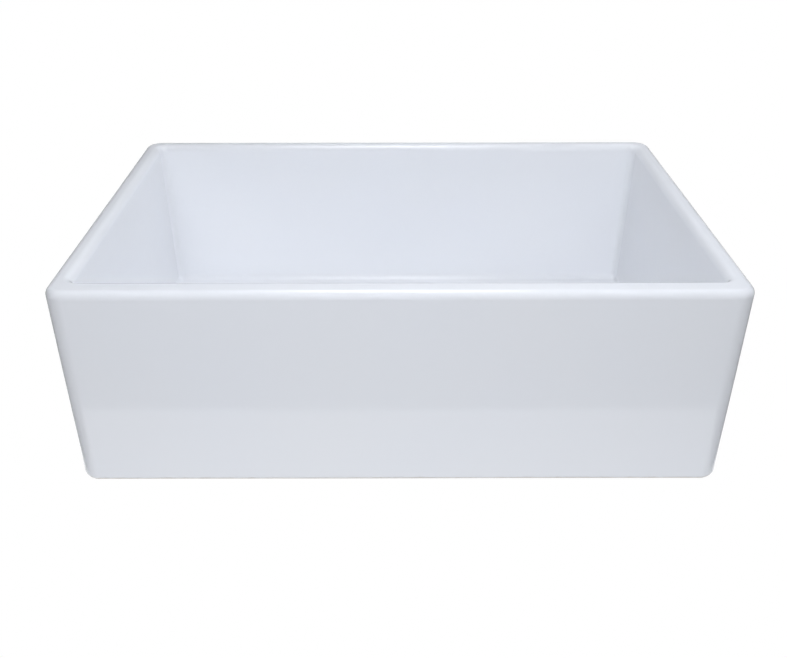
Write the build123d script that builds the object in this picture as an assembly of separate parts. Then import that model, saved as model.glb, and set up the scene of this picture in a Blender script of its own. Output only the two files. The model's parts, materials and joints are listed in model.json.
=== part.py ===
from build123d import *

import math
import os

# Apron front sink with its basket strainer, in millimetres.
# The Z axis is the drain's axis and points up. Z = 0 is the plane of the bearing band on which the
# bowl rests. The apron faces -Y, and +X is to the right of someone who stands at the sink.

# --- Bowl: one casting, glazed, walls thick enough to be fired without warping ---
WIDTH = 762.0            # outside, along X
DEPTH = 508.0            # outside, from the apron's face to the back, along Y
HEIGHT = 254.0           # outside, from the bearing band to the rim
APRON_WALL = 32.0        # wall thicknesses, all measured at the rim
SIDE_WALL = 23.5
BACK_WALL = 23.5
FLOOR_THICKNESS = 34.0   # where the floor meets the walls, bearing band included
WALL_DRAFT = 0.6         # degrees by which the basin narrows downwards, so that it leaves its mould
BODY_CORNER_R = 22.0     # vertical corners, outside
BASIN_CORNER_R = 10.5    # vertical corners, inside
RIM_OUTER_R = 9.5
RIM_INNER_R = 10.0
BASE_EDGE_R = 10.0
FLOOR_EDGE_R = 8.0       # where the walls run into the floor
FLOOR_FALL = 6.0         # how far the floor drops from its edge to the drain
DRAIN_LAND = 8.0         # level floor between the falling planes and the drain's recess
FALL_INSET = 2.0         # level strip between the wall's radius and the falling floor
BAND_WIDTH = 45.0        # bearing band, ground flat round the underside
BAND_HEIGHT = 3.0
BAND_BEVEL = 2.0

# --- Drain opening ---
DRAIN_GAP = 2.2          # between the hole and the strainer's shell
FLANGE_GAP = 3.0         # between the strainer's flange and the recess it lies in
RECESS_DEPTH = 3.5
RECESS_EDGE_R = 2.5
PUTTY = 1.5              # thickness of the putty bed
PUTTY_INSET = 2.0        # putty trimmed back from the flange's edge

# --- Strainer body: drawn from stainless sheet, for a 3 1/2 in drain ---
BODY_SHEET = 1.2
BODY_R = 42.8            # outside of the thread shell
FLANGE_WIDTH = 14.2
FLANGE_BEND_R = 4.0
FLANGE_DISH = 0.9        # how far the flange slopes down towards the cup
BODY_BEND_R = 6.0
SHOULDER_HEIGHT = 18.0   # tapered part under the thread
SEAT_WIDTH = 6.0         # of the cup's floor outside the stopper's seal
OUTLET_LEDGE = 0.9       # by which the hole in the floor is wider than the spigot's bore
THREAD_SPARE = 6.0       # thread left below the locknut

# --- What clamps the strainer to the sink ---
THREAD_GAP = 0.4         # between a nut's bore and what it runs on
GASKET = 3.2
GASKET_LAP = 9.0         # of the gasket beyond the edge of the drain hole
FRICTION_RING = 0.8
FRICTION_INSET = 2.0     # of the friction ring and the nut within the gasket's edge
LOCKNUT_HEIGHT = 11.0
LOCKNUT_WEB = 4.0        # the flat flange of the nut
LOCKNUT_WALL = 5.0
LOCKNUT_LUGS = 8
LOCKNUT_LUG_WIDTH = 9.0

# --- Slip joint and tailpiece ---
TAIL_R = 19.05           # outside of a 1 1/2 in tube
TAIL_SHEET = 0.9
TAIL_LENGTH = 101.6      # 4 in
TAIL_FLANGE = 3.75       # how far the flange stands out from the tube
TAIL_BEND_R = 1.0
JOINT_WASHER = 3.0
JOINT_GAP = 1.1          # between the flange's edge and the root of the outlet's thread
NUT_HOLE_GAP = 1.2       # between the tube and the shoulder of the coupling nut
NUT_SHOULDER = 3.0
NUT_THREAD_LENGTH = 13.0
NUT_WALL = 4.2           # from the thread to the flats of the hexagon
NUT_CHAMFER = 2.0

# --- Outlet spigot and the plate that guides the basket ---
SPIGOT_LENGTH = 26.0
SPIGOT_WALL = 5.5
SPIGOT_FLANGE_LIP = 4.1  # how far the brazed flange stands out from the thread
SPIGOT_FLANGE = 3.0
CROSS_SHEET = 1.5
CROSS_DEPTH = 8.0        # of the counterbore whose ledge carries the cross bar
CROSS_LEDGE = 2.6        # width of that ledge
CROSS_RING = 2.2         # width of the plate's outer ring
CROSS_ARM = 3.2
CROSS_HUB = 3.1          # metal round the guide hole
CROSS_ARMS = 4
SEAT_FIT = 0.05          # between a pressed piece and its counterbore

# --- Post, stopper and knob ---
LIFT_GAP = 0.3           # between surfaces that part or turn
POST_R = 4.0             # journal on which the cup turns
POST_STEP = 1.0          # from the journal down to the threads at both ends
POST_BORE_FIT = 0.06     # radial, cup on journal
COLLAR_LIP = 5.0         # how far the collar stands out from the journal
COLLAR = 2.0
GUIDE_GAP = 0.4          # radial, post in the cross bar
GUIDE_REACH = 8.0        # of the post below the cross bar
SEAL_LAP = 7.7           # of the seal beyond the outlet
SEAL = 4.0
SEAL_BEVEL = 1.5
SEAL_WASHER_WIDTH = 11.0
SEAL_WASHER = 1.0
POST_NUT_WALL = 2.0
POST_NUT_HEIGHT = 4.0
RING_WIDTH = 3.5         # of the retaining ring outside the journal
RING = 0.8
RING_GROOVE = 0.8        # how deep the ring sits in the post
KNOB_R = 12.0
KNOB_NECK_WALL = 3.0
KNOB_DOME = 3.0          # rise of the domed top
KNOB_EDGE = 2.4          # thickness of the head at its edge
KNOB_COVER = 4.5         # metal over the end of the post
KNOB_RISE = 6.0          # of the knob's top above the flange
KNOB_SOCKET = 12.0       # length of post inside the knob

# --- Basket cup ---
BASKET_SHEET = 0.8
BASKET_GAP = 2.0         # between the basket's rim and the cup around it
BASKET_DROP = 4.0        # of the basket's rim below the flange
BASKET_TAPER = 10.1      # how much narrower the cup is at its floor than at its lip
BASKET_LIP = 6.0         # width of the rim that is turned out
BASKET_BEND_R = 5.0
BASKET_LIP_BEND_R = 3.0
SIDE_SLOTS = 16
SIDE_SLOT_WIDTH = 3.6
SIDE_SLOT_MARGIN = 4.5   # from the ends of a slot to the bends
FLOOR_HOLES = 12
FLOOR_HOLE_R = 2.2

# --- Radii that follow from the sizes above ---
DRAIN_HOLE_R = BODY_R + DRAIN_GAP
FLANGE_R = BODY_R + FLANGE_WIDTH
RECESS_R = FLANGE_R + FLANGE_GAP
GASKET_R = DRAIN_HOLE_R + GASKET_LAP
FRICTION_RING_R = GASKET_R - FRICTION_INSET
TAIL_FLANGE_R = TAIL_R + TAIL_FLANGE
SPIGOT_R = TAIL_FLANGE_R + JOINT_GAP
SPIGOT_BORE_R = SPIGOT_R - SPIGOT_WALL
SPIGOT_FLANGE_R = SPIGOT_R + SPIGOT_FLANGE_LIP
OUTLET_R = SPIGOT_BORE_R + OUTLET_LEDGE
CROSS_R = SPIGOT_BORE_R + CROSS_LEDGE
SEAL_R = OUTLET_R + SEAL_LAP
BODY_FLOOR_R = SEAL_R + SEAT_WIDTH
POST_THREAD_R = POST_R - POST_STEP
COLLAR_R = POST_R + COLLAR_LIP
SEAL_WASHER_R = POST_THREAD_R + SEAL_WASHER_WIDTH
RING_R = POST_R + RING_WIDTH
KNOB_NECK_R = POST_THREAD_R + KNOB_NECK_WALL
BASKET_R = BODY_R - BODY_SHEET - BASKET_GAP
BASKET_SIDE_R = BASKET_R - BASKET_LIP
BASKET_FLOOR_R = BASKET_SIDE_R - BASKET_TAPER

# --- Heights and places that follow from the sizes above ---
BASIN_WIDTH = WIDTH - 2 * SIDE_WALL
BASIN_LENGTH = DEPTH - APRON_WALL - BACK_WALL
BASIN_DEPTH = HEIGHT - FLOOR_THICKNESS
BODY_Y = (BACK_WALL - APRON_WALL) / 2      # the basin is centred on the drain
DRAIN_Z = FLOOR_THICKNESS - FLOOR_FALL
RECESS_Z = DRAIN_Z - RECESS_DEPTH
FLANGE_Z = RECESS_Z + PUTTY
GASKET_Z = BAND_HEIGHT - GASKET
FRICTION_Z = GASKET_Z - FRICTION_RING
LOCKNUT_Z = FRICTION_Z - LOCKNUT_HEIGHT
BODY_Z = LOCKNUT_Z - THREAD_SPARE - SHOULDER_HEIGHT      # underside of the cup
SEAT_Z = BODY_Z + BODY_SHEET
CROSS_Z = BODY_Z - CROSS_DEPTH
SPIGOT_Z = BODY_Z - SPIGOT_LENGTH
TAIL_TOP = SPIGOT_Z - JOINT_WASHER
TAIL_Z = TAIL_TOP - TAIL_LENGTH
SEAL_Z = SEAT_Z + LIFT_GAP
COLLAR_Z = SEAL_Z + SEAL
BASKET_Z = COLLAR_Z + COLLAR + LIFT_GAP
RING_Z = BASKET_Z + BASKET_SHEET + LIFT_GAP
BASKET_TOP = FLANGE_Z - BASKET_DROP
KNOB_TOP = FLANGE_Z + BODY_SHEET + KNOB_RISE
POST_TOP = KNOB_TOP - KNOB_COVER
KNOB_Z = POST_TOP - KNOB_SOCKET


def revolved(section):
    """Turn a section, drawn as radius and height, about the drain's axis."""
    return revolve(Plane.XZ * section, Axis.Z)


def ring(bottom, height, outer_r, inner_r):
    """A flat ring about the drain's axis."""
    return Pos(0, 0, bottom) * extrude(Circle(outer_r) - Circle(inner_r), height)


def sheet_section(points, bends, thickness):
    """Half section of a drawn shell. The points run along one side of the sheet, to its right."""
    line = FilletPolyline(*points, radius=bends)
    return make_face(offset(line, thickness, side=Side.LEFT))


def hexagon_bar(bottom, height, flats, chamfer_size):
    """A hexagon with turned chamfers at both ends, as on a nut."""
    corner_r = flats / math.sqrt(3)
    bar = Pos(0, 0, bottom) * extrude(RegularPolygon(flats / 2, 6, major_radius=False), height)
    blank = Pos(0, 0, bottom) * extrude(Circle(corner_r), height)
    return bar & chamfer(blank.edges().filter_by(GeomType.CIRCLE), chamfer_size / 2, chamfer_size)


def save(node, shape):
    shape.label = node
    export_step(shape, os.path.join("parts", node + ".step"))


def bowl_blank():
    """The outside of the bowl. The basin is centred on the drain, so the thick apron shifts it."""
    blank = Pos(0, BODY_Y, 0) * extrude(RectangleRounded(WIDTH, DEPTH, BODY_CORNER_R), HEIGHT)
    blank = fillet(blank.faces().sort_by(Axis.Z)[-1].edges(), RIM_OUTER_R)
    return fillet(blank.faces().sort_by(Axis.Z)[0].edges(), BASE_EDGE_R)


def basin_space():
    """The room inside the basin: drafted walls, rounded corners, and a floor that falls to the drain."""
    mouth = Pos(0, 0, HEIGHT) * RectangleRounded(BASIN_WIDTH, BASIN_LENGTH, BASIN_CORNER_R)
    space = extrude(mouth, -BASIN_DEPTH, taper=WALL_DRAFT)
    space = fillet(space.faces().sort_by(Axis.Z)[0].edges(), FLOOR_EDGE_R)
    level = space.faces().sort_by(Axis.Z)[0].bounding_box().size
    return space + falling_floor(level.X - 2 * FALL_INSET, level.Y - 2 * FALL_INSET)


def falling_floor(width, length):
    """Four planes that fall from this rectangle to the level square round the drain's recess."""
    land = 2 * (RECESS_R + DRAIN_LAND)
    x_end, y_end = (width - land) / 2, (length - land) / 2
    fall = Wedge(width, FLOOR_FALL, length, x_end, y_end, x_end + land, y_end + land)
    return Pos(0, 0, FLOOR_THICKNESS - FLOOR_FALL / 2) * Rot(-90, 0, 0) * fall


def drain_opening():
    """The recess for the strainer's flange, and the hole through the floor."""
    recess = Pos(0, 0, RECESS_Z) * extrude(Circle(RECESS_R), RECESS_DEPTH)
    return recess + extrude(Circle(DRAIN_HOLE_R), RECESS_Z)


def circles(shape, radius, height):
    """The round edges of this radius at this height."""
    near = 1e-3
    return (
        shape.edges()
        .filter_by(GeomType.CIRCLE)
        .filter_by(lambda edge: abs(edge.radius - radius) < near and abs(edge.center().Z - height) < near)
    )


def sink_bowl():
    """One casting. The ground band underneath carries it, and the middle stays clear of the rails."""
    bowl = bowl_blank() - basin_space()
    inner_rim = bowl.faces().sort_by(Axis.Z)[-1].inner_wires()[0].edges()
    bowl = fillet(inner_rim, RIM_INNER_R) - drain_opening()
    bowl = fillet(circles(bowl, RECESS_R, DRAIN_Z), RECESS_EDGE_R)
    hollow = RectangleRounded(WIDTH - 2 * BAND_WIDTH, DEPTH - 2 * BAND_WIDTH, BODY_CORNER_R)
    bowl -= extrude(Pos(0, BODY_Y, 0) * hollow, BAND_HEIGHT)
    underside = bowl.faces().sort_by(Axis.Z)[0]
    return chamfer(underside.inner_wires()[0].edges(), BAND_BEVEL)


def putty_ring():
    """The bed of putty, squeezed to the slope of the flange above it."""
    inner_r = BODY_R + FLANGE_BEND_R
    outer_r = FLANGE_R - PUTTY_INSET
    slope = FLANGE_DISH / (FLANGE_R - BODY_R)
    section = Polyline(
        (inner_r, RECESS_Z),
        (outer_r, RECESS_Z),
        (outer_r, FLANGE_Z - slope * (FLANGE_R - outer_r)),
        (inner_r, FLANGE_Z - slope * (FLANGE_R - inner_r)),
        close=True,
    )
    return revolved(make_face(section))


def strainer_body():
    """Drawn cup: dished flange, straight thread shell, tapered shoulder, flat floor with the outlet."""
    line = [
        (OUTLET_R, BODY_Z),
        (BODY_FLOOR_R, BODY_Z),
        (BODY_R, BODY_Z + SHOULDER_HEIGHT),
        (BODY_R, FLANGE_Z - FLANGE_DISH),
        (FLANGE_R, FLANGE_Z),
    ]
    bends = [BODY_BEND_R, BODY_BEND_R, FLANGE_BEND_R]
    return revolved(sheet_section(line, bends, BODY_SHEET))


def cross_bar():
    """A ring with arms and a hub, cut from sheet, pressed on the ledge inside the spigot."""
    outer_r = CROSS_R
    plate = Circle(outer_r) - Circle(outer_r - CROSS_RING)
    arm = Rectangle(2 * outer_r - CROSS_RING, CROSS_ARM)
    plate += [Rot(0, 0, index * 360 / CROSS_ARMS) * arm for index in range(CROSS_ARMS // 2)]
    guide_r = POST_THREAD_R + GUIDE_GAP
    plate += Circle(guide_r + CROSS_HUB)
    plate -= Circle(guide_r)
    return Pos(0, 0, CROSS_Z) * extrude(plate, CROSS_SHEET)


def outlet_spigot():
    """Turned brass: a flange brazed under the cup, a counterbore for the cross bar, a threaded tube."""
    seat_r = CROSS_R + SEAT_FIT
    section = Polyline(
        (SPIGOT_BORE_R, SPIGOT_Z),
        (SPIGOT_R, SPIGOT_Z),
        (SPIGOT_R, BODY_Z - SPIGOT_FLANGE),
        (SPIGOT_FLANGE_R, BODY_Z - SPIGOT_FLANGE),
        (SPIGOT_FLANGE_R, BODY_Z),
        (seat_r, BODY_Z),
        (seat_r, CROSS_Z),
        (SPIGOT_BORE_R, CROSS_Z),
        close=True,
    )
    return revolved(make_face(section))


def under_gasket():
    return ring(GASKET_Z, GASKET, GASKET_R, BODY_R + THREAD_GAP)


def friction_ring():
    return ring(FRICTION_Z, FRICTION_RING, FRICTION_RING_R, BODY_R + THREAD_GAP)


def locknut():
    """Cast ring nut: a flat flange against the friction ring, a wall that holds the thread, and lugs."""
    bore_r = BODY_R + THREAD_GAP
    wall_r = bore_r + LOCKNUT_WALL
    nut = ring(FRICTION_Z - LOCKNUT_WEB, LOCKNUT_WEB, FRICTION_RING_R, bore_r)
    nut += ring(LOCKNUT_Z, LOCKNUT_HEIGHT, wall_r, bore_r)
    lug = Pos((bore_r + FRICTION_RING_R) / 2 + LOCKNUT_WALL / 2, 0) * Rectangle(
        FRICTION_RING_R - bore_r, LOCKNUT_LUG_WIDTH
    )
    lugs = PolarLocations(0, LOCKNUT_LUGS) * lug
    body = Pos(0, 0, LOCKNUT_Z) * extrude(Sketch() + lugs, LOCKNUT_HEIGHT)
    return nut + body


def tailpiece_washer():
    return ring(TAIL_TOP, JOINT_WASHER, TAIL_FLANGE_R, SPIGOT_BORE_R)


def tailpiece():
    """A 1 1/2 in tube, flanged at its top."""
    flange_z = TAIL_TOP - TAIL_SHEET
    line = [(TAIL_R, TAIL_Z), (TAIL_R, flange_z), (TAIL_FLANGE_R, flange_z)]
    return revolved(sheet_section(line, [TAIL_BEND_R], TAIL_SHEET))


def coupling_nut():
    """A hexagon nut whose shoulder draws the tailpiece's flange up against the washer."""
    shoulder_z = TAIL_TOP - TAIL_SHEET
    bottom = shoulder_z - NUT_SHOULDER
    top = SPIGOT_Z + NUT_THREAD_LENGTH
    thread_r = SPIGOT_R + THREAD_GAP
    nut = hexagon_bar(bottom, top - bottom, 2 * (thread_r + NUT_WALL), NUT_CHAMFER)
    nut -= Pos(0, 0, bottom) * extrude(Circle(TAIL_R + NUT_HOLE_GAP), NUT_SHOULDER)
    return nut - Pos(0, 0, shoulder_z) * extrude(Circle(thread_r), top - shoulder_z)


def basket_cup():
    """Drawn cup with a turned-out lip, slots round its side and holes in its floor."""
    lip_z = BASKET_TOP - BASKET_SHEET
    line = [
        (POST_R + POST_BORE_FIT, BASKET_Z),
        (BASKET_FLOOR_R, BASKET_Z),
        (BASKET_SIDE_R, lip_z),
        (BASKET_R, lip_z),
    ]
    cup = revolved(sheet_section(line, [BASKET_BEND_R, BASKET_LIP_BEND_R], BASKET_SHEET))
    return cup - side_slots() - floor_holes()


def side_slots():
    """A row of upright slots, evenly spaced round the slanted side."""
    bottom = BASKET_Z + BASKET_BEND_R + SIDE_SLOT_MARGIN
    top = BASKET_TOP - BASKET_LIP_BEND_R - SIDE_SLOT_MARGIN
    slot = Rot(0, 0, 90) * SlotOverall(top - bottom, SIDE_SLOT_WIDTH)
    outward = Plane(origin=(0, 0, (bottom + top) / 2), x_dir=(0, 1, 0), z_dir=(1, 0, 0))
    cutter = extrude(outward * slot, BASKET_R)
    return [place * cutter for place in PolarLocations(0, SIDE_SLOTS)]


def floor_holes():
    """A ring of round holes, midway between the retaining ring and the bend."""
    ring_r = (RING_R + BASKET_FLOOR_R - BASKET_BEND_R / 2) / 2
    cutter = Pos(0, 0, BASKET_Z) * extrude(Circle(FLOOR_HOLE_R), BASKET_SHEET)
    return [place * cutter for place in PolarLocations(ring_r, FLOOR_HOLES)]


def basket_post():
    """Turned post: guide tip, thread for the nut, collar over the seal, journal for the cup, socket end."""
    tip_z = CROSS_Z - GUIDE_REACH
    tip_r = POST_THREAD_R / 2
    groove_r = POST_R - RING_GROOVE
    section = Polyline(
        (0, tip_z),
        (tip_r, tip_z),
        (POST_THREAD_R, tip_z + tip_r),
        (POST_THREAD_R, COLLAR_Z),
        (COLLAR_R, COLLAR_Z),
        (COLLAR_R, COLLAR_Z + COLLAR),
        (POST_R, COLLAR_Z + COLLAR),
        (POST_R, RING_Z),
        (groove_r, RING_Z),
        (groove_r, RING_Z + RING),
        (POST_R, RING_Z + RING),
        (POST_R, KNOB_Z),
        (POST_THREAD_R, KNOB_Z),
        (POST_THREAD_R, POST_TOP),
        (0, POST_TOP),
        close=True,
    )
    return revolved(make_face(section))


def cup_retaining_ring():
    """Snapped into the post's groove over the cup's floor, so that cup and post lift out together."""
    return ring(RING_Z, RING, RING_R, POST_R - RING_GROOVE)


def pull_knob():
    """A turned knob, screwed on the post: waisted neck and domed head."""
    edge_z = KNOB_TOP - KNOB_DOME
    dome_r = (KNOB_R**2 + KNOB_DOME**2) / (2 * KNOB_DOME)
    neck = TangentArc((KNOB_NECK_R, KNOB_Z), (KNOB_R, edge_z - KNOB_EDGE), tangent=(0, 1))
    edge = Line((KNOB_R, edge_z - KNOB_EDGE), (KNOB_R, edge_z))
    dome = CenterArc((0, KNOB_TOP - dome_r), dome_r, 90, -math.degrees(math.asin(KNOB_R / dome_r)))
    axis = Polyline((0, KNOB_TOP), (0, KNOB_Z), (KNOB_NECK_R, KNOB_Z))
    knob = revolved(make_face([neck, edge, dome, axis]))
    knob = fillet(circles(knob, KNOB_R, edge_z), KNOB_EDGE / 2)
    return knob - Pos(0, 0, KNOB_Z) * extrude(Circle(POST_THREAD_R), KNOB_SOCKET)


def stopper_seal():
    """A rubber disc, bevelled underneath where it meets the cup's floor."""
    section = Polyline(
        (POST_THREAD_R, SEAL_Z),
        (SEAL_R - SEAL_BEVEL, SEAL_Z),
        (SEAL_R, SEAL_Z + SEAL_BEVEL),
        (SEAL_R, COLLAR_Z),
        (POST_THREAD_R, COLLAR_Z),
        close=True,
    )
    return revolved(make_face(section))


def seal_washer():
    return ring(SEAL_Z - SEAL_WASHER, SEAL_WASHER, SEAL_WASHER_R, POST_THREAD_R)


def post_nut():
    bottom = SEAL_Z - SEAL_WASHER - POST_NUT_HEIGHT
    nut = hexagon_bar(bottom, POST_NUT_HEIGHT, 2 * (POST_THREAD_R + POST_NUT_WALL), POST_NUT_HEIGHT / 8)
    return nut - Pos(0, 0, bottom) * extrude(Circle(POST_THREAD_R), POST_NUT_HEIGHT)


PIECES = [
    sink_bowl, putty_ring, strainer_body, cross_bar, outlet_spigot, under_gasket, friction_ring,
    locknut, tailpiece_washer, tailpiece, coupling_nut, basket_cup, basket_post, cup_retaining_ring,
    pull_knob, stopper_seal, seal_washer, post_nut,
]

if __name__ == "__main__":
    os.makedirs("parts", exist_ok=True)
    for piece in PIECES:
        save(piece.__name__, piece())
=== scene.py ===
import json
import math

import bmesh
import bpy
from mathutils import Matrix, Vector

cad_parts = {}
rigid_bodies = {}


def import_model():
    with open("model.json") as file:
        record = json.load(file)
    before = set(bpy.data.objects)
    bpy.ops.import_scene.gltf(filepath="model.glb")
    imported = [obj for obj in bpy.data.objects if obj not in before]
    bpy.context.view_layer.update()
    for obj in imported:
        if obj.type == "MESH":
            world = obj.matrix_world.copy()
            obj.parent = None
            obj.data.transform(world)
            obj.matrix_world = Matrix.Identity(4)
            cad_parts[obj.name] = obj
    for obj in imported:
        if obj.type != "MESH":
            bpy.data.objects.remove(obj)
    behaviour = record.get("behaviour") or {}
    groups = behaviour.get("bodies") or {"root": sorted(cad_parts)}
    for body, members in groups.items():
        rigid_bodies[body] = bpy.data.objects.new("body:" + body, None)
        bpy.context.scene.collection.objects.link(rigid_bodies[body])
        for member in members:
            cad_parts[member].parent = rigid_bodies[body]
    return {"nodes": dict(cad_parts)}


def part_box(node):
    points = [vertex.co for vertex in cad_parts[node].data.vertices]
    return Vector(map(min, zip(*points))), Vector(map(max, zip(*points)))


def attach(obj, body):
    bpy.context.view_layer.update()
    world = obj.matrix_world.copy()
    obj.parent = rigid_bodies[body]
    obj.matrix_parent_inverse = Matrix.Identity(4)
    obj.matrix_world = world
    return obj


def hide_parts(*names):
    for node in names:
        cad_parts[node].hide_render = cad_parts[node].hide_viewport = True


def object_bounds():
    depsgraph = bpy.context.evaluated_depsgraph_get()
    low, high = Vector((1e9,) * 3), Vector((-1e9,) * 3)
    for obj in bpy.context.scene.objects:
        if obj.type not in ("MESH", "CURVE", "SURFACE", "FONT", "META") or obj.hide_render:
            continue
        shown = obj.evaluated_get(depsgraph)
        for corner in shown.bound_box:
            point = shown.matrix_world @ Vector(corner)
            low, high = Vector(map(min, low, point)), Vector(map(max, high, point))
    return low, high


for leftover in list(bpy.data.objects):
    bpy.data.objects.remove(leftover)
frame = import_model()
nodes = frame["nodes"]
cad_lo, cad_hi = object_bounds()


# ---- Bowl -------------------------------------------------------------------------------------------
# One piece of fireclay, slip cast in a plaster mould, glazed white and fired. The apron is its thickest
# wall. The underside is left bare and the band it rests on is ground flat. Cast walls and melted glaze
# are never quite flat, which shows in what they mirror.

MM = 0.001
BOWL_LO, BOWL_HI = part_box("sink_bowl")
APRON_WALL = 32.0 * MM
OTHER_WALL = 23.5 * MM
FLOOR_EDGE_Z = 34.0 * MM
DRAIN_Z = 28.0 * MM
RECESS_Z = 24.5 * MM
UNDERSIDE_Z = 3.0 * MM
OUTER_CORNER_R = 22.0 * MM
BASIN_CORNER_R = 10.5 * MM
RIM_OUTER_R = 9.5 * MM
RIM_INNER_R = 10.0 * MM
LOWER_EDGE_R = 10.0 * MM
FLOOR_EDGE_R = 8.0 * MM
FLOOR_STRIP = 2.0 * MM
WALL_DRAFT = math.tan(math.radians(0.6))
BAND_WIDTH = 45.0 * MM
BAND_BEVEL = 2.0 * MM
BAND_CORNER_R = 22.0 * MM
LAND = 68.0 * MM
RECESS_R = 60.0 * MM
RECESS_EDGE_R = 2.5 * MM
DRAIN_R = 45.0 * MM
CORNER_STEPS = 12
LONG_CUTS, SHORT_CUTS = 47, 31
ROLL_STEPS = 8
WALL_STEPS = 16
FLOOR_STEPS = 12
STRAIGHT = 100 * MM        # longer than any edge of a rounded corner
LEVEL = 0.02 * MM          # corners this near a height lie at it
CAST_WAVES = 0.22          # from one swell of the cast walls to the next
CAST_UNEVEN = 0.45 * MM
END_WALL_X = 0.36          # the outer faces of the end walls lie beyond this
FOOT_FADE = 30 * MM        # they turn from true to uneven over this height
DRAIN_FADE = 60 * MM       # the floor turns uneven over this way out from the drain's land
SMOOTH_ANGLE = math.radians(35)


def edit(piece):
    """Select this piece alone and open it, with nothing in it selected."""
    bpy.ops.object.select_all(action="DESELECT")
    piece.select_set(True)
    bpy.context.view_layer.objects.active = piece
    bpy.ops.object.mode_set(mode="EDIT")
    bpy.ops.mesh.select_all(action="DESELECT")


def close():
    """Leave the piece that was opened."""
    bpy.ops.object.mode_set(mode="OBJECT")


def pick(piece, kind, test):
    """Select the edges or faces whose corners pass the test, and no others."""
    bpy.ops.mesh.select_mode(type=kind)
    bpy.ops.mesh.select_all(action="DESELECT")
    mesh = bmesh.from_edit_mesh(piece.data)
    for part in mesh.edges if kind == "EDGE" else mesh.faces:
        part.select_set(test([corner.co for corner in part.verts]))
    mesh.select_flush_mode()
    bmesh.update_edit_mesh(piece.data)


def at_height(height):
    """A test for pick: whether all of a part's corners lie at this height."""
    return lambda corners: all(abs(corner.z - height) < LEVEL for corner in corners)


def outline(name, lo, hi, height, corner_r):
    """A rounded rectangle as one level face, divided as all the bowl's outlines are."""
    bpy.ops.object.select_all(action="DESELECT")
    bpy.ops.mesh.primitive_plane_add(size=1)
    piece = bpy.context.object
    piece.name = name
    edit(piece)
    bpy.ops.mesh.select_all(action="SELECT")
    bpy.ops.transform.resize(value=(hi.x - lo.x, hi.y - lo.y, 1))
    bpy.ops.transform.translate(value=((lo.x + hi.x) / 2, (lo.y + hi.y) / 2, height))
    bpy.ops.mesh.bevel(offset=corner_r, segments=CORNER_STEPS, affect="VERTICES")
    bpy.ops.mesh.delete(type="ONLY_FACE")
    pick(piece, "EDGE", lambda ends: abs(ends[0].x - ends[1].x) > STRAIGHT)
    bpy.ops.mesh.subdivide(number_cuts=LONG_CUTS)
    pick(piece, "EDGE", lambda ends: abs(ends[0].y - ends[1].y) > STRAIGHT)
    bpy.ops.mesh.subdivide(number_cuts=SHORT_CUTS)
    bpy.ops.mesh.select_all(action="SELECT")
    bpy.ops.mesh.edge_face_add()
    bpy.ops.mesh.select_mode(type="FACE")
    bpy.ops.mesh.select_all(action="SELECT")
    return piece


def draw_out(height):
    """Extrude the level face straight up or down."""
    bpy.ops.mesh.extrude_region_move(TRANSFORM_OT_translate={"value": (0, 0, height)})


def carry(inwards, upwards):
    """Inset the level face by one amount, and lift it by another."""
    bpy.ops.mesh.inset(thickness=inwards, depth=0)
    bpy.ops.transform.translate(value=(0, 0, upwards))


def roll(radius, rise, level_first):
    """Carry the level face round a quarter circle, up or down."""
    turns = [math.radians(90 * index / ROLL_STEPS) for index in range(ROLL_STEPS + 1)]
    for a, b in zip(turns, turns[1:]):
        across, along = radius * (math.sin(b) - math.sin(a)), radius * (math.cos(a) - math.cos(b))
        if level_first:
            carry(across, rise * along)
        else:
            carry(along, rise * across)


def shrink(size, target, centre, height):
    """Extrude the level face to a smaller rectangle at another height."""
    bpy.ops.mesh.extrude_region_move()
    bpy.ops.transform.resize(value=(target.x / size.x, target.y / size.y, 1), center_override=centre)
    bpy.ops.transform.translate(value=(0, 0, height))


def make_round(piece, radius, height):
    """Extrude the level face to an evenly divided circle about the drain's axis."""
    bpy.ops.mesh.extrude_region_move()
    mesh = bmesh.from_edit_mesh(piece.data)
    corners = {corner for face in mesh.faces if face.select for corner in face.verts}
    round_the_drain = sorted(corners, key=lambda corner: math.atan2(corner.co.y, corner.co.x) % math.tau)
    for index, corner in enumerate(round_the_drain):
        turn = math.tau * index / len(round_the_drain)
        corner.co = Vector((radius * math.cos(turn), radius * math.sin(turn), height))
    bmesh.update_edit_mesh(piece.data)


def walk(edges):
    """The corners of one open outline in order, from the middle of its back towards +X."""
    beside = {}
    for edge in edges:
        for corner in edge.verts:
            beside.setdefault(corner, []).append(edge.other_vert(corner))
    first = min((corner for corner in beside if corner.co.y > 0), key=lambda corner: abs(corner.co.x))
    path = [first, max(beside[first], key=lambda corner: corner.co.x)]
    while path[0] not in beside[path[-1]] or len(path) == 2:
        path.append(next(corner for corner in beside[path[-1]] if corner is not path[-2]))
    return path


def join_open_edges(piece, *heights):
    """Join two open outlines at these heights, each corner to the one that lies likewise in the other."""
    mesh = bmesh.new()
    mesh.from_mesh(piece.data)
    open_edges = {edge for edge in mesh.edges if edge.is_boundary}
    rims = []
    for height in heights:
        level_edges = {edge for edge in open_edges if at_height(height)([end.co for end in edge.verts])}
        rim = walk(level_edges)
        rims.append(rim)
        open_edges -= {edge for corner in rim for edge in corner.link_edges}
    for index, corner in enumerate(rims[0]):
        mesh.faces.new((rims[0][index - 1], corner, rims[1][index], rims[1][index - 1]))
    mesh.to_mesh(piece.data)
    mesh.free()


def order_faces(piece):
    """Sort the faces by their corners, because an extrusion leaves them in another order each run."""
    mesh = bmesh.new()
    mesh.from_mesh(piece.data)
    ordered = sorted(mesh.faces, key=lambda face: sorted(corner.index for corner in face.verts))
    for index, face in enumerate(ordered):
        face.index = index
    mesh.faces.sort()
    mesh.to_mesh(piece.data)
    mesh.free()


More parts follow.
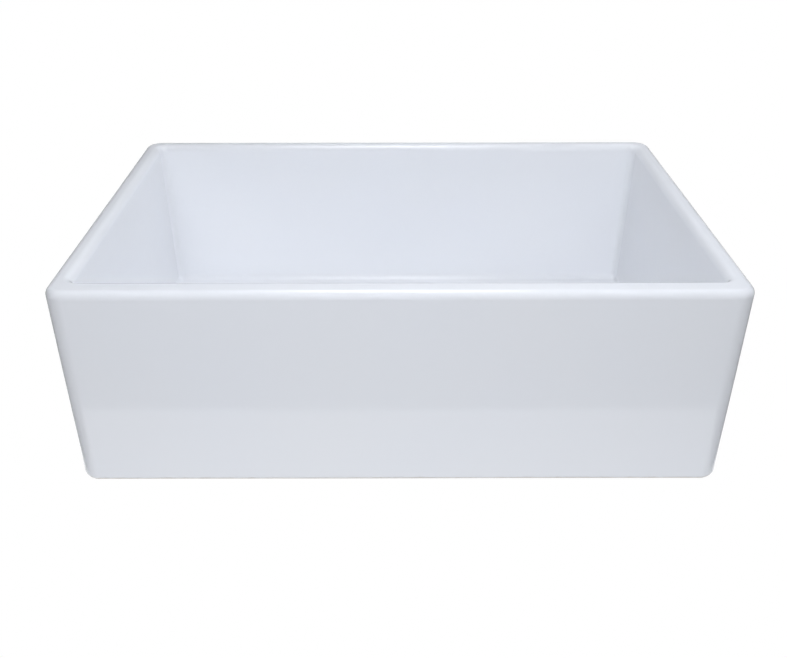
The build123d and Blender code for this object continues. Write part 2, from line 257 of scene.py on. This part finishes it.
# The outside, up from the top of the lower edge to the crown, then down round the lower edge.
outside = outline("fireclay_bowl", BOWL_LO, BOWL_HI, LOWER_EDGE_R, OUTER_CORNER_R)
wall = BOWL_HI.z - RIM_OUTER_R - LOWER_EDGE_R
for index in range(WALL_STEPS):
    draw_out(wall / WALL_STEPS)
roll(RIM_OUTER_R, 1, level_first=False)
bpy.ops.mesh.delete(type="ONLY_FACE")
pick(outside, "FACE", at_height(LOWER_EDGE_R))
roll(LOWER_EDGE_R, -1, level_first=False)
bpy.ops.mesh.delete(type="ONLY_FACE")
close()

# The basin, from the crown down the drafted walls, over the falling floor and through the drain hole.
basin_lo = Vector((BOWL_LO.x + OTHER_WALL, BOWL_LO.y + APRON_WALL))
basin_hi = Vector((BOWL_HI.x - OTHER_WALL, BOWL_HI.y - OTHER_WALL))
spread = Vector((RIM_INNER_R, RIM_INNER_R))
basin = outline("basin", basin_lo - spread, basin_hi + spread, BOWL_HI.z, BASIN_CORNER_R + RIM_INNER_R)
roll(RIM_INNER_R, -1, level_first=True)
wall = BOWL_HI.z - RIM_INNER_R - FLOOR_EDGE_Z - FLOOR_EDGE_R
for index in range(WALL_STEPS):
    carry(WALL_DRAFT * wall / WALL_STEPS, -wall / WALL_STEPS)
roll(FLOOR_EDGE_R, -1, level_first=False)
taken = 2 * (WALL_DRAFT * wall + FLOOR_EDGE_R)
floor_size = basin_hi - basin_lo - Vector((taken, taken))
strip = Vector((2 * FLOOR_STRIP, 2 * FLOOR_STRIP))
shrink(floor_size, floor_size - strip, (0, 0, 0), 0)
floor_size -= strip
floor_edge, land_size = floor_size.copy(), Vector((2 * LAND, 2 * LAND))
for index in range(FLOOR_STEPS):
    target = floor_edge.lerp(land_size, (index + 1) / FLOOR_STEPS)
    shrink(floor_size, target, (0, 0, 0), (DRAIN_Z - FLOOR_EDGE_Z) / FLOOR_STEPS)
    floor_size = target
make_round(basin, RECESS_R + RECESS_EDGE_R, DRAIN_Z)
roll(RECESS_EDGE_R, -1, level_first=True)
draw_out(RECESS_Z - DRAIN_Z + RECESS_EDGE_R)
make_round(basin, DRAIN_R, RECESS_Z)
draw_out(2 * UNDERSIDE_Z - RECESS_Z)
bpy.ops.mesh.delete(type="ONLY_FACE")
close()

# The underside, from the inner edge of the bearing band to the drain hole.
inset = Vector((BAND_WIDTH - BAND_BEVEL, BAND_WIDTH - BAND_BEVEL))
underside = outline("underside", BOWL_LO.xy + inset, BOWL_HI.xy - inset, 0, BAND_CORNER_R + BAND_BEVEL)
carry(BAND_BEVEL, BAND_BEVEL)
draw_out(UNDERSIDE_Z - BAND_BEVEL)
bottom_size = BOWL_HI.xy - BOWL_LO.xy - Vector((2 * BAND_WIDTH, 2 * BAND_WIDTH))
shrink(bottom_size, land_size, (BOWL_LO + BOWL_HI) / 2, 0)
bpy.ops.transform.translate(value=(0, -(BOWL_LO.y + BOWL_HI.y) / 2, 0))
make_round(underside, DRAIN_R, UNDERSIDE_Z)
bpy.ops.mesh.delete(type="ONLY_FACE")
close()

# The three are joined at the crown, at the bearing band and in the drain hole.
bpy.ops.object.select_all(action="DESELECT")
for part in (underside, basin, outside):
    part.select_set(True)
bpy.context.view_layer.objects.active = outside
bpy.ops.object.join()
bowl = outside
join_open_edges(bowl, BOWL_HI.z, BOWL_HI.z)
join_open_edges(bowl, 0, 0)
join_open_edges(bowl, 2 * UNDERSIDE_Z, UNDERSIDE_Z)
order_faces(bowl)
edit(bowl)
bpy.ops.mesh.select_all(action="SELECT")
bpy.ops.mesh.normals_make_consistent(inside=False)
close()
bpy.ops.object.select_all(action="DESELECT")
bowl.select_set(True)
# The walls sag a little inwards here and there. The drain and the foot of the end walls stay true.
free = bowl.vertex_groups.new(name="cast_freely")
for corner in bowl.data.vertices:
    on_end_wall = abs(corner.co.x) > END_WALL_X
    below_walls = corner.co.z < FLOOR_EDGE_Z + 1 * MM
    from_foot = (corner.co.z - LOWER_EDGE_R) / FOOT_FADE if on_end_wall else 1
    from_drain = (corner.co.xy.length - LAND) / DRAIN_FADE if below_walls else 1
    free.add([corner.index], max(0, min(1, from_foot, from_drain)), "REPLACE")
uneven = bpy.data.textures.new("cast_wall", "CLOUDS")
uneven.noise_scale = CAST_WAVES
uneven.noise_depth = 1
sag = bowl.modifiers.new("sag", "DISPLACE")
sag.texture = uneven
sag.texture_coords = "LOCAL"
sag.vertex_group = free.name
sag.strength = CAST_UNEVEN
sag.mid_level = 1.0
bpy.ops.object.modifier_apply(modifier=sag.name)
bpy.ops.object.shade_smooth_by_angle(angle=SMOOTH_ANGLE)
flat_walls = bowl.modifiers.new("flat_walls", "WEIGHTED_NORMAL")
flat_walls.keep_sharp = True
bpy.ops.object.modifier_apply(modifier=flat_walls.name)


def shader(name, colour, roughness, metallic=0.0):
    """A new material with its node tree, its surface shader and the object's own coordinates."""
    material = bpy.data.materials.new(name)
    material.use_nodes = True
    tree = material.node_tree
    surface = tree.nodes["Principled BSDF"]
    surface.inputs["Base Color"].default_value = (*colour, 1)
    surface.inputs["Roughness"].default_value = roughness
    surface.inputs["Metallic"].default_value = metallic
    place = tree.nodes.new("ShaderNodeTexCoord").outputs["Object"]
    return material, tree, surface, place


def noise(tree, place, scale, detail=2.0, stretch=None):
    """A noise of so many grains to the metre. A stretch makes its grains longer along an axis."""
    texture = tree.nodes.new("ShaderNodeTexNoise")
    texture.inputs["Scale"].default_value = scale
    texture.inputs["Detail"].default_value = detail
    if stretch:
        mapping = tree.nodes.new("ShaderNodeMapping")
        mapping.inputs["Scale"].default_value = stretch
        tree.links.new(place, mapping.inputs["Vector"])
        place = mapping.outputs["Vector"]
    tree.links.new(place, texture.inputs["Vector"])
    return texture.outputs["Fac"]


def ramp(tree, value, low, high, from_low=0.3, from_high=0.7):
    """Spread a value between two numbers."""
    spread = tree.nodes.new("ShaderNodeMapRange")
    for name, number in zip(("From Min", "From Max", "To Min", "To Max"), (from_low, from_high, low, high)):
        spread.inputs[name].default_value = number
    tree.links.new(value, spread.inputs["Value"])
    return spread.outputs["Result"]


def mix(tree, value, colour_a, colour_b):
    """A colour between two others, either of which may come from another node."""
    blend = tree.nodes.new("ShaderNodeMix")
    blend.data_type = "RGBA"
    tree.links.new(value, blend.inputs["Factor"])
    for name, colour in (("A", colour_a), ("B", colour_b)):
        socket = next(s for s in blend.inputs if s.name == name and s.type == "RGBA")
        if isinstance(colour, tuple):
            socket.default_value = (*colour, 1)
        else:
            tree.links.new(colour, socket)
    return next(s for s in blend.outputs if s.type == "RGBA")


def darker(colour, share):
    """A colour at a share of its brightness."""
    return tuple(share * part for part in colour)


def emboss(tree, surface, height, depth, after=None):
    """Raise the surface by a height pattern, over another emboss if there is one."""
    bump = tree.nodes.new("ShaderNodeBump")
    bump.inputs["Distance"].default_value = depth
    bump.inputs["Strength"].default_value = 1.0
    tree.links.new(height, bump.inputs["Height"])
    if after:
        tree.links.new(after, bump.inputs["Normal"])
    tree.links.new(bump.outputs["Normal"], surface.inputs["Normal"])
    return bump.outputs["Normal"]


GLAZE = (0.885, 0.895, 0.915)
GLAZE_POOLED = (0.877, 0.890, 0.917)
GLAZE_THIN = (0.74, 0.70, 0.66)
BISCUIT = (0.70, 0.655, 0.59)
GLAZE_LINE = 4.6 * MM
GLAZE_LINE_WANDER = 1.2 * MM
GLAZE_LINE_BLUR = 0.4 * MM
GLAZE_THIN_BAND = 2.5 * MM
WANDER_GRAINS, TINT_GRAINS, GLOSS_GRAINS = 70, 7, 160      # to the metre, as all grains here
RIPPLE_GRAINS, RIPPLE_DEPTH = 45, 0.05 * MM
BISCUIT_GRAINS, BISCUIT_DEPTH = 900, 0.25 * MM
GROG_GRAINS = 1400
BISCUIT_ROUGHNESS = 0.85

# Above a wavering line the glaze runs thin and then full. Below it the bare, grainy biscuit shows.
glaze, tree, surface, place = shader("white_glaze", GLAZE, 0.05)
surface.inputs["IOR"].default_value = 1.5
split = tree.nodes.new("ShaderNodeSeparateXYZ")
tree.links.new(place, split.inputs["Vector"])
wander = ramp(tree, noise(tree, place, WANDER_GRAINS, 3), -GLAZE_LINE_WANDER, GLAZE_LINE_WANDER, 0.2, 0.8)
height = tree.nodes.new("ShaderNodeMath")
height.operation = "ADD"
tree.links.new(split.outputs["Z"], height.inputs[0])
tree.links.new(wander, height.inputs[1])
bare = ramp(tree, height.outputs["Value"], 1, 0, GLAZE_LINE - GLAZE_LINE_BLUR, GLAZE_LINE + GLAZE_LINE_BLUR)
thin = ramp(tree, height.outputs["Value"], 1, 0, GLAZE_LINE, GLAZE_LINE + GLAZE_THIN_BAND)
tint = mix(tree, ramp(tree, noise(tree, place, TINT_GRAINS), 0, 1), GLAZE, GLAZE_POOLED)
specks = ramp(tree, noise(tree, place, GROG_GRAINS, 4), 0, 1)
grog = mix(tree, specks, BISCUIT, darker(BISCUIT, 0.86))
tree.links.new(mix(tree, bare, mix(tree, thin, tint, GLAZE_THIN), grog), surface.inputs["Base Color"])
gloss = ramp(tree, noise(tree, place, GLOSS_GRAINS, 3), 0.035, 0.07)
dulled = tree.nodes.new("ShaderNodeMix")
tree.links.new(bare, dulled.inputs["Factor"])
tree.links.new(gloss, dulled.inputs["A"])
dulled.inputs["B"].default_value = BISCUIT_ROUGHNESS
tree.links.new(dulled.outputs["Result"], surface.inputs["Roughness"])
ripple = emboss(tree, surface, noise(tree, place, RIPPLE_GRAINS, 1), RIPPLE_DEPTH)
grain = tree.nodes.new("ShaderNodeMath")
grain.operation = "MULTIPLY"
tree.links.new(noise(tree, place, BISCUIT_GRAINS, 4), grain.inputs[0])
tree.links.new(bare, grain.inputs[1])
emboss(tree, surface, grain.outputs["Value"], BISCUIT_DEPTH, ripple)
bowl.data.materials.append(glaze)
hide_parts("sink_bowl")
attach(bowl, "root")


# ---- Strainer body, putty and thread ----------------------------------------------------------------
# The strainer's body is drawn from stainless sheet, spun true and polished, and a thread is rolled into
# the outside of its shell. Its flange lies in the bowl's recess on a bed of plumber's putty.

PUTTY, PUTTY_MOTTLE = (0.52, 0.47, 0.38), (0.42, 0.38, 0.31)
STAINLESS = (0.66, 0.655, 0.64)
SHELL_R = 42.8 * MM
SHELL_CREST_R = 43.14 * MM
SHELL_PITCH = 2.3 * MM
SHELL_THREAD = (-17.2 * MM, 12.5 * MM)
THREAD_SUNK = 0.06 * MM                   # the ridge's foot lies this far inside the cylinder
CREST_HALF, FOOT_HALF = 0.09, 0.44        # half the ridge's width, as a share of the pitch


def dress(node, material):
    """Give a node's object a material in place of its plain one."""
    for slot in nodes[node].material_slots:
        slot.material = material


def dull_by_place(tree, surface, value, low, high):
    """Let a pattern spread the roughness between two numbers."""
    tree.links.new(ramp(tree, value, low, high), surface.inputs["Roughness"])


def turned(name, colour, roughness, rings_per_metre, depth):
    """Metal with the fine rings that turning or spinning leaves round the drain's axis."""
    material, tree, surface, place = shader(name, colour, roughness, metallic=1.0)
    across = tree.nodes.new("ShaderNodeVectorMath")
    across.operation = "MULTIPLY"
    across.inputs[1].default_value = (1, 1, 0)
    tree.links.new(place, across.inputs[0])
    out = tree.nodes.new("ShaderNodeVectorMath")
    out.operation = "LENGTH"
    tree.links.new(across.outputs["Vector"], out.inputs[0])
    heights = tree.nodes.new("ShaderNodeSeparateXYZ")
    tree.links.new(place, heights.inputs["Vector"])
    along = tree.nodes.new("ShaderNodeCombineXYZ")
    tree.links.new(out.outputs["Value"], along.inputs["X"])
    tree.links.new(heights.outputs["Z"], along.inputs["Y"])
    rings = noise(tree, along.outputs["Vector"], rings_per_metre, 3)
    worn = noise(tree, place, 60, 4)
    dull_by_place(tree, surface, worn, 0.8 * roughness, 1.35 * roughness)
    tree.links.new(mix(tree, ramp(tree, rings, 0, 1), colour, darker(colour, 0.9)),
                   surface.inputs["Base Color"])
    surface.inputs["Anisotropic"].default_value = 0.45
    tangent = tree.nodes.new("ShaderNodeTangent")
    tangent.direction_type = "RADIAL"
    tangent.axis = "Z"
    tree.links.new(tangent.outputs["Tangent"], surface.inputs["Tangent"])
    emboss(tree, surface, rings, depth)
    return material


def kneaded(name, colour, mottle, roughness, grain, depth):
    """A dull, soft or fibrous stuff, mottled in the mass and grainy at its surface."""
    material, tree, surface, place = shader(name, colour, roughness)
    spots = ramp(tree, noise(tree, place, grain / 4, 4), 0, 1)
    tree.links.new(mix(tree, spots, colour, mottle), surface.inputs["Base Color"])
    fine = noise(tree, place, grain, 5)
    dull_by_place(tree, surface, fine, roughness - 0.08, min(roughness + 0.1, 1))
    emboss(tree, surface, fine, depth)
    return material


def thread(name, root_r, crest_r, pitch, ends, steps, material, body):
    """A ridge wound round the drain's axis, from one height to another."""
    turns = int((ends[1] - ends[0]) / pitch - 1)
    bpy.ops.object.select_all(action="DESELECT")
    bpy.ops.mesh.primitive_plane_add(size=1)
    ridge = bpy.context.object
    ridge.name = name
    edit(ridge)
    bpy.ops.mesh.select_all(action="SELECT")
    bpy.ops.mesh.delete(type="ONLY_FACE")
    close()
    foot_r = root_r - THREAD_SUNK
    for corner in ridge.data.vertices:
        at_crest = corner.co.x > 0
        wide = CREST_HALF if at_crest else FOOT_HALF
        rise = ends[0] + 0.5 * pitch + math.copysign(wide, corner.co.y) * pitch
        corner.co = (crest_r if at_crest else foot_r, 0, rise)
    wind = ridge.modifiers.new("wind", "SCREW")
    wind.angle = math.tau
    wind.screw_offset = pitch
    wind.iterations = turns
    wind.steps = wind.render_steps = steps
    wind.use_merge_vertices = False
    bpy.ops.object.modifier_apply(modifier=wind.name)
    mesh = bmesh.new()
    mesh.from_mesh(ridge.data)
    bmesh.ops.remove_doubles(mesh, verts=mesh.verts, dist=0.001 * MM)
    bmesh.ops.holes_fill(mesh, edges=[edge for edge in mesh.edges if edge.is_boundary], sides=4)
    bmesh.ops.recalc_face_normals(mesh, faces=mesh.faces)
    mesh.to_mesh(ridge.data)
    mesh.free()
    ridge.select_set(True)
    bpy.ops.object.shade_smooth_by_angle(angle=math.radians(25))
    ridge.data.materials.append(material)
    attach(ridge, body)


polished_steel = turned("polished_steel", STAINLESS, roughness=0.13, rings_per_metre=2600, depth=0.012 * MM)
satin_steel = turned("satin_steel", darker(STAINLESS, 0.92), roughness=0.27, rings_per_metre=1900,
                     depth=0.03 * MM)
dress("putty_ring", kneaded("putty", PUTTY, PUTTY_MOTTLE, roughness=0.75, grain=700, depth=0.25 * MM))
dress("strainer_body", polished_steel)
thread("shell_thread", SHELL_R, SHELL_CREST_R, SHELL_PITCH, SHELL_THREAD, steps=72,
       material=polished_steel, body="root")


# ---- Outlet spigot and cross bar --------------------------------------------------------------------
# The spigot is turned from brass bar, threaded and brazed under the body's floor. The cross bar that
# guides the post is punched from stainless sheet and pressed into the spigot.

BRASS = (0.72, 0.50, 0.20)
SPIGOT_R = 23.9 * MM
SPIGOT_CREST_R = 24.22 * MM
SPIGOT_PITCH = 2.2 * MM
SPIGOT_THREAD = (-61.6 * MM, -39.4 * MM)

turned_brass = turned("turned_brass", BRASS, roughness=0.24, rings_per_metre=2200, depth=0.03 * MM)
dress("outlet_spigot", turned_brass)
dress("cross_bar", satin_steel)
thread("spigot_thread", SPIGOT_R, SPIGOT_CREST_R, SPIGOT_PITCH, SPIGOT_THREAD, steps=56,
       material=turned_brass, body="root")


# ---- Gasket, friction ring and locknut --------------------------------------------------------------
# Under the bowl a rubber gasket seals the hole. A ring of pressed fibre lets the locknut turn on it, and
# the locknut is die cast in zinc, with lugs for a spanner and the faint grain of its mould.

RUBBER, RUBBER_BLOOM = (0.022, 0.022, 0.024), (0.045, 0.045, 0.048)
FIBRE, FIBRE_MOTTLE = (0.36, 0.25, 0.14), (0.50, 0.38, 0.24)
ZINC = (0.50, 0.51, 0.525)

black_rubber = kneaded("black_rubber", RUBBER, RUBBER_BLOOM, roughness=0.62, grain=900, depth=0.05 * MM)
dress("under_gasket", black_rubber)
pressed_fibre = kneaded("pressed_fibre", FIBRE, FIBRE_MOTTLE, roughness=0.88, grain=1500, depth=0.12 * MM)
dress("friction_ring", pressed_fibre)

cast_zinc, tree, surface, place = shader("cast_zinc", ZINC, 0.42, metallic=1.0)
flow = noise(tree, place, 90, 5)
dull_by_place(tree, surface, flow, 0.34, 0.55)
tree.links.new(mix(tree, ramp(tree, flow, 0, 1), ZINC, darker(ZINC, 0.78)), surface.inputs["Base Color"])
cast_skin = emboss(tree, surface, noise(tree, place, 260, 3), 0.12 * MM)
emboss(tree, surface, noise(tree, place, 1500, 4), 0.03 * MM, cast_skin)
dress("locknut", cast_zinc)


# ---- Slip joint -------------------------------------------------------------------------------------
# The tailpiece is a chromed tube, drawn through a die, with a flange rolled at its top. A white poly
# washer seals it against the spigot and a chromed hexagon nut draws it up.

POLY, POLY_MOTTLE = (0.80, 0.80, 0.76), (0.76, 0.755, 0.70)
CHROME = (0.72, 0.73, 0.745)

white_poly = kneaded("white_poly", POLY, POLY_MOTTLE, roughness=0.42, grain=500, depth=0.03 * MM)
dress("tailpiece_washer", white_poly)
drawn_chrome, tree, surface, place = shader("drawn_chrome", CHROME, 0.07, metallic=1.0)
die_lines = noise(tree, place, 1600, 2, stretch=(1, 1, 0.015))
smears = noise(tree, place, 45, 4)
dull_by_place(tree, surface, smears, 0.045, 0.13)
tree.links.new(mix(tree, ramp(tree, smears, 0, 1), CHROME, darker(CHROME, 0.93)),
               surface.inputs["Base Color"])
emboss(tree, surface, die_lines, 0.006 * MM)
dress("tailpiece", drawn_chrome)
dress("coupling_nut", turned("chromed_nut", CHROME, roughness=0.09, rings_per_metre=1400, depth=0.015 * MM))


# ---- Basket, post and stopper -----------------------------------------------------------------------
# The cup is drawn and punched from stainless sheet and turns freely on a turned post, held by a snap
# ring. The rubber seal under the post's collar closes the outlet, and the knob lifts the lot out.

POST_R = 3.0 * MM
POST_CREST_R = 3.24 * MM
POST_PITCH = 0.8 * MM
POST_THREAD = (-50.4 * MM, -39.4 * MM)

dress("basket_cup", satin_steel)
dress("cup_retaining_ring", satin_steel)
dress("basket_post", polished_steel)
mirror_steel = turned("mirror_steel", STAINLESS, roughness=0.07, rings_per_metre=3200, depth=0.006 * MM)
dress("pull_knob", mirror_steel)
dress("stopper_seal", black_rubber)
dress("seal_washer", satin_steel)
dress("post_nut", turned_brass)
thread("post_thread", POST_R, POST_CREST_R, POST_PITCH, POST_THREAD, steps=28,
       material=polished_steel, body="stopper")


# ---- Floor, camera and light ------------------------------------------------------------------------
# The sink is shown on a white table in a pale room. The table ends a short way before the apron, and the
# glaze mirrors the darker room beyond it. The lamp over the basin draws the lines of light on its rolled
# edges, and soft lights that nothing mirrors do the rest.

PHOTO_WIDTH = 787
FOCAL_PIXELS = 899
CENTRE_SHIFT_PIXELS = 33
SENSOR_WIDTH = 36
CAMERA_PLACE = (-0.0084, -1.10085, 0.68765)
CAMERA_TILT = 31.62
CAMERA_LEAN, CAMERA_TURN = 0.0009, -0.0018
ROOM_HALF, ROOM_TOP, CEILING_Z = 6, 5, 2.4
TABLE_Z = cad_lo.z
LIGHT_Z = TABLE_Z + 0.5 * MM
DARK_Z = TABLE_Z + 1 * MM
TABLE_EDGE_X, TABLE_EDGE_Y = 0.62, -0.65
LAMP_Y, LAMP_Z, LAMP_REACH, LAMP_GLOW = 0.07, 1.0, 0.4, 9
DAYLIGHT = (0.91, 0.94, 1.0)
ROOM_GLOW = 0.12

camera = bpy.data.cameras.new("camera")
camera.sensor_width = SENSOR_WIDTH
camera.lens = SENSOR_WIDTH * FOCAL_PIXELS / PHOTO_WIDTH
camera.shift_y = CENTRE_SHIFT_PIXELS / PHOTO_WIDTH
viewer = bpy.data.objects.new("camera", camera)
viewer.location = CAMERA_PLACE
viewer.rotation_euler = (math.radians(90 - CAMERA_TILT), CAMERA_LEAN, CAMERA_TURN)
bpy.context.scene.collection.objects.link(viewer)
bpy.context.scene.camera = viewer


def sheet(name, lo, hi, glow, seen=False, mirrored=True, lights=False):
    """A flat, evenly bright sheet of the set between two opposite corners. It can be seen by the camera,
    mirrored by the pieces, or light them."""
    size, middle = Vector(hi) - Vector(lo), (Vector(hi) + Vector(lo)) / 2
    upright = 0 if size.z == 0 else math.pi / 2
    turn = (upright, 0, 0 if size.x else math.pi / 2)
    spans = [span for span in (size if size.x else size.yzx) if span]
    bpy.ops.object.select_all(action="DESELECT")
    bpy.ops.mesh.primitive_plane_add(size=1, location=middle, rotation=turn)
    piece = bpy.context.object
    piece.name = name
    piece.scale = (*spans, 1)
    bpy.ops.object.transform_apply(location=True, rotation=True, scale=True)
    material, tree, surface, place = shader(name, (0, 0, 0), 0.9)
    surface.inputs["Specular IOR Level"].default_value = 0
    surface.inputs["Emission Color"].default_value = (1, 1, 1, 1)
    surface.inputs["Emission Strength"].default_value = glow
    piece.data.materials.append(material)
    piece.visible_camera, piece.visible_glossy, piece.visible_diffuse = seen, mirrored, lights
    piece.visible_shadow = False
    return tree, surface, place


sheet("floor", (-ROOM_HALF, -ROOM_HALF, TABLE_Z), (ROOM_HALF, ROOM_HALF, TABLE_Z), 1.0, seen=True)
sheet("table_light", (-ROOM_HALF, -ROOM_HALF, LIGHT_Z), (ROOM_HALF, ROOM_HALF, LIGHT_Z), 0.23,
      mirrored=False, lights=True)
sheet("dark_room", (-4, -5, DARK_Z), (4, TABLE_EDGE_Y, DARK_Z), 0.1)
sheet("dark_left", (-4, TABLE_EDGE_Y, DARK_Z), (-TABLE_EDGE_X, 3, DARK_Z), 0.2)
sheet("dark_right", (TABLE_EDGE_X, TABLE_EDGE_Y, DARK_Z), (4, 3, DARK_Z), 0.1)
sheet("backdrop", (-3, 2.5, TABLE_Z), (3, 2.5, 2.6), 0.15)
sheet("ceiling", (-2.5, -2.5, CEILING_Z), (2.5, 1.2, CEILING_Z), 0.75)
for name, x_ends, y_ends in (
    ("left_wall", (-ROOM_HALF, -ROOM_HALF), (-ROOM_HALF, ROOM_HALF)),
    ("right_wall", (ROOM_HALF, ROOM_HALF), (-ROOM_HALF, ROOM_HALF)),
    ("near_wall", (-ROOM_HALF, ROOM_HALF), (-ROOM_HALF, -ROOM_HALF)),
    ("far_wall", (-ROOM_HALF, ROOM_HALF), (ROOM_HALF, ROOM_HALF)),
):
    sheet(name, (x_ends[0], y_ends[0], TABLE_Z), (x_ends[1], y_ends[1], ROOM_TOP), 1.0,
          seen=True, mirrored=False)

# The lamp is brightest in its middle and fades towards its edges.
tree, surface, place = sheet("lamp", (-0.4, -0.35, LAMP_Z), (0.4, 0.5, LAMP_Z), 0)
centred = tree.nodes.new("ShaderNodeMapping")
centred.inputs["Location"].default_value = (0, -LAMP_Y / LAMP_REACH, 0)
centred.inputs["Scale"].default_value = (1 / LAMP_REACH, 1 / LAMP_REACH, 0)
fade = tree.nodes.new("ShaderNodeTexGradient")
fade.gradient_type = "SPHERICAL"
glow = tree.nodes.new("ShaderNodeMath")
glow.operation = "MULTIPLY"
glow.inputs[1].default_value = LAMP_GLOW
tree.links.new(place, centred.inputs["Vector"])
tree.links.new(centred.outputs["Vector"], fade.inputs["Vector"])
tree.links.new(fade.outputs["Fac"], glow.inputs[0])
tree.links.new(glow.outputs["Value"], surface.inputs["Emission Strength"])


def softbox(name, place, aim, width, depth, power, mirrored=False):
    """A rectangular light at a place, aimed at a point."""
    lamp = bpy.data.lights.new(name, "AREA")
    lamp.shape = "RECTANGLE"
    lamp.size, lamp.size_y = width, depth
    lamp.energy = power
    lamp.color = DAYLIGHT
    light = bpy.data.objects.new(name, lamp)
    light.location = place
    light.rotation_euler = (Vector(aim) - Vector(place)).to_track_quat("-Z", "Y").to_euler()
    light.visible_glossy = mirrored
    light.visible_camera = False
    bpy.context.scene.collection.objects.link(light)


softbox("overhead_wide", (0.05, -0.22, 1.02), (0.05, -0.22, 0), 1.4, 0.5, 0.2, mirrored=True)
softbox("overhead", (0.05, -0.22, 1.01), (0.05, -0.22, 0), 0.8, 0.3, 0.5, mirrored=True)
softbox("hot_spot", (0.0, -0.22, 1.0), (0.0, -0.22, 0), 0.35, 0.2, 0.9)
softbox("front_left_high", (-0.5, -1.35, 0.9), (-0.1, -0.2, 0.1), 0.5, 0.4, 2.34)
softbox("front_middle_high", (0.05, -1.4, 1.0), (0, -0.2, 0.1), 0.5, 0.4, 7.4)
softbox("front_top", (0.0, -1.5, 2.2), (0, 0, 0.1), 2.2, 0.9, 12.6)
softbox("right_top", (1.2, 0.1, 1.2), (-0.1, 0, 0.15), 0.8, 0.8, 5.82)
softbox("back_top", (0.0, 1.2, 1.3), (0, 0, 0.15), 1.4, 0.8, 9.92)
# The next three stand lower than the rim, so they light the outside alone.
softbox("behind_low", (0, 1.3, 0.1), (0, 0, 0.1), 1.6, 0.2, 5.5)
softbox("left_low", (-1.4, 0.5, 0.1), (0, 0.1, 0.1), 1.0, 0.2, 6.5)
softbox("right_low", (1.4, 0.5, 0.1), (0, 0.1, 0.1), 1.0, 0.2, 6.5)
softbox("table_bounce", (0.0, -0.5, TABLE_Z + 2 * MM), (0, -0.5, 1), 1.3, 0.4, 1.52)

world = bpy.data.worlds.new("room")
world.use_nodes = True
world.node_tree.nodes["Background"].inputs["Color"].default_value = (1, 1, 1, 1)
world.node_tree.nodes["Background"].inputs["Strength"].default_value = ROOM_GLOW
bpy.context.scene.world = world
bpy.context.scene.view_settings.view_transform = "Standard"
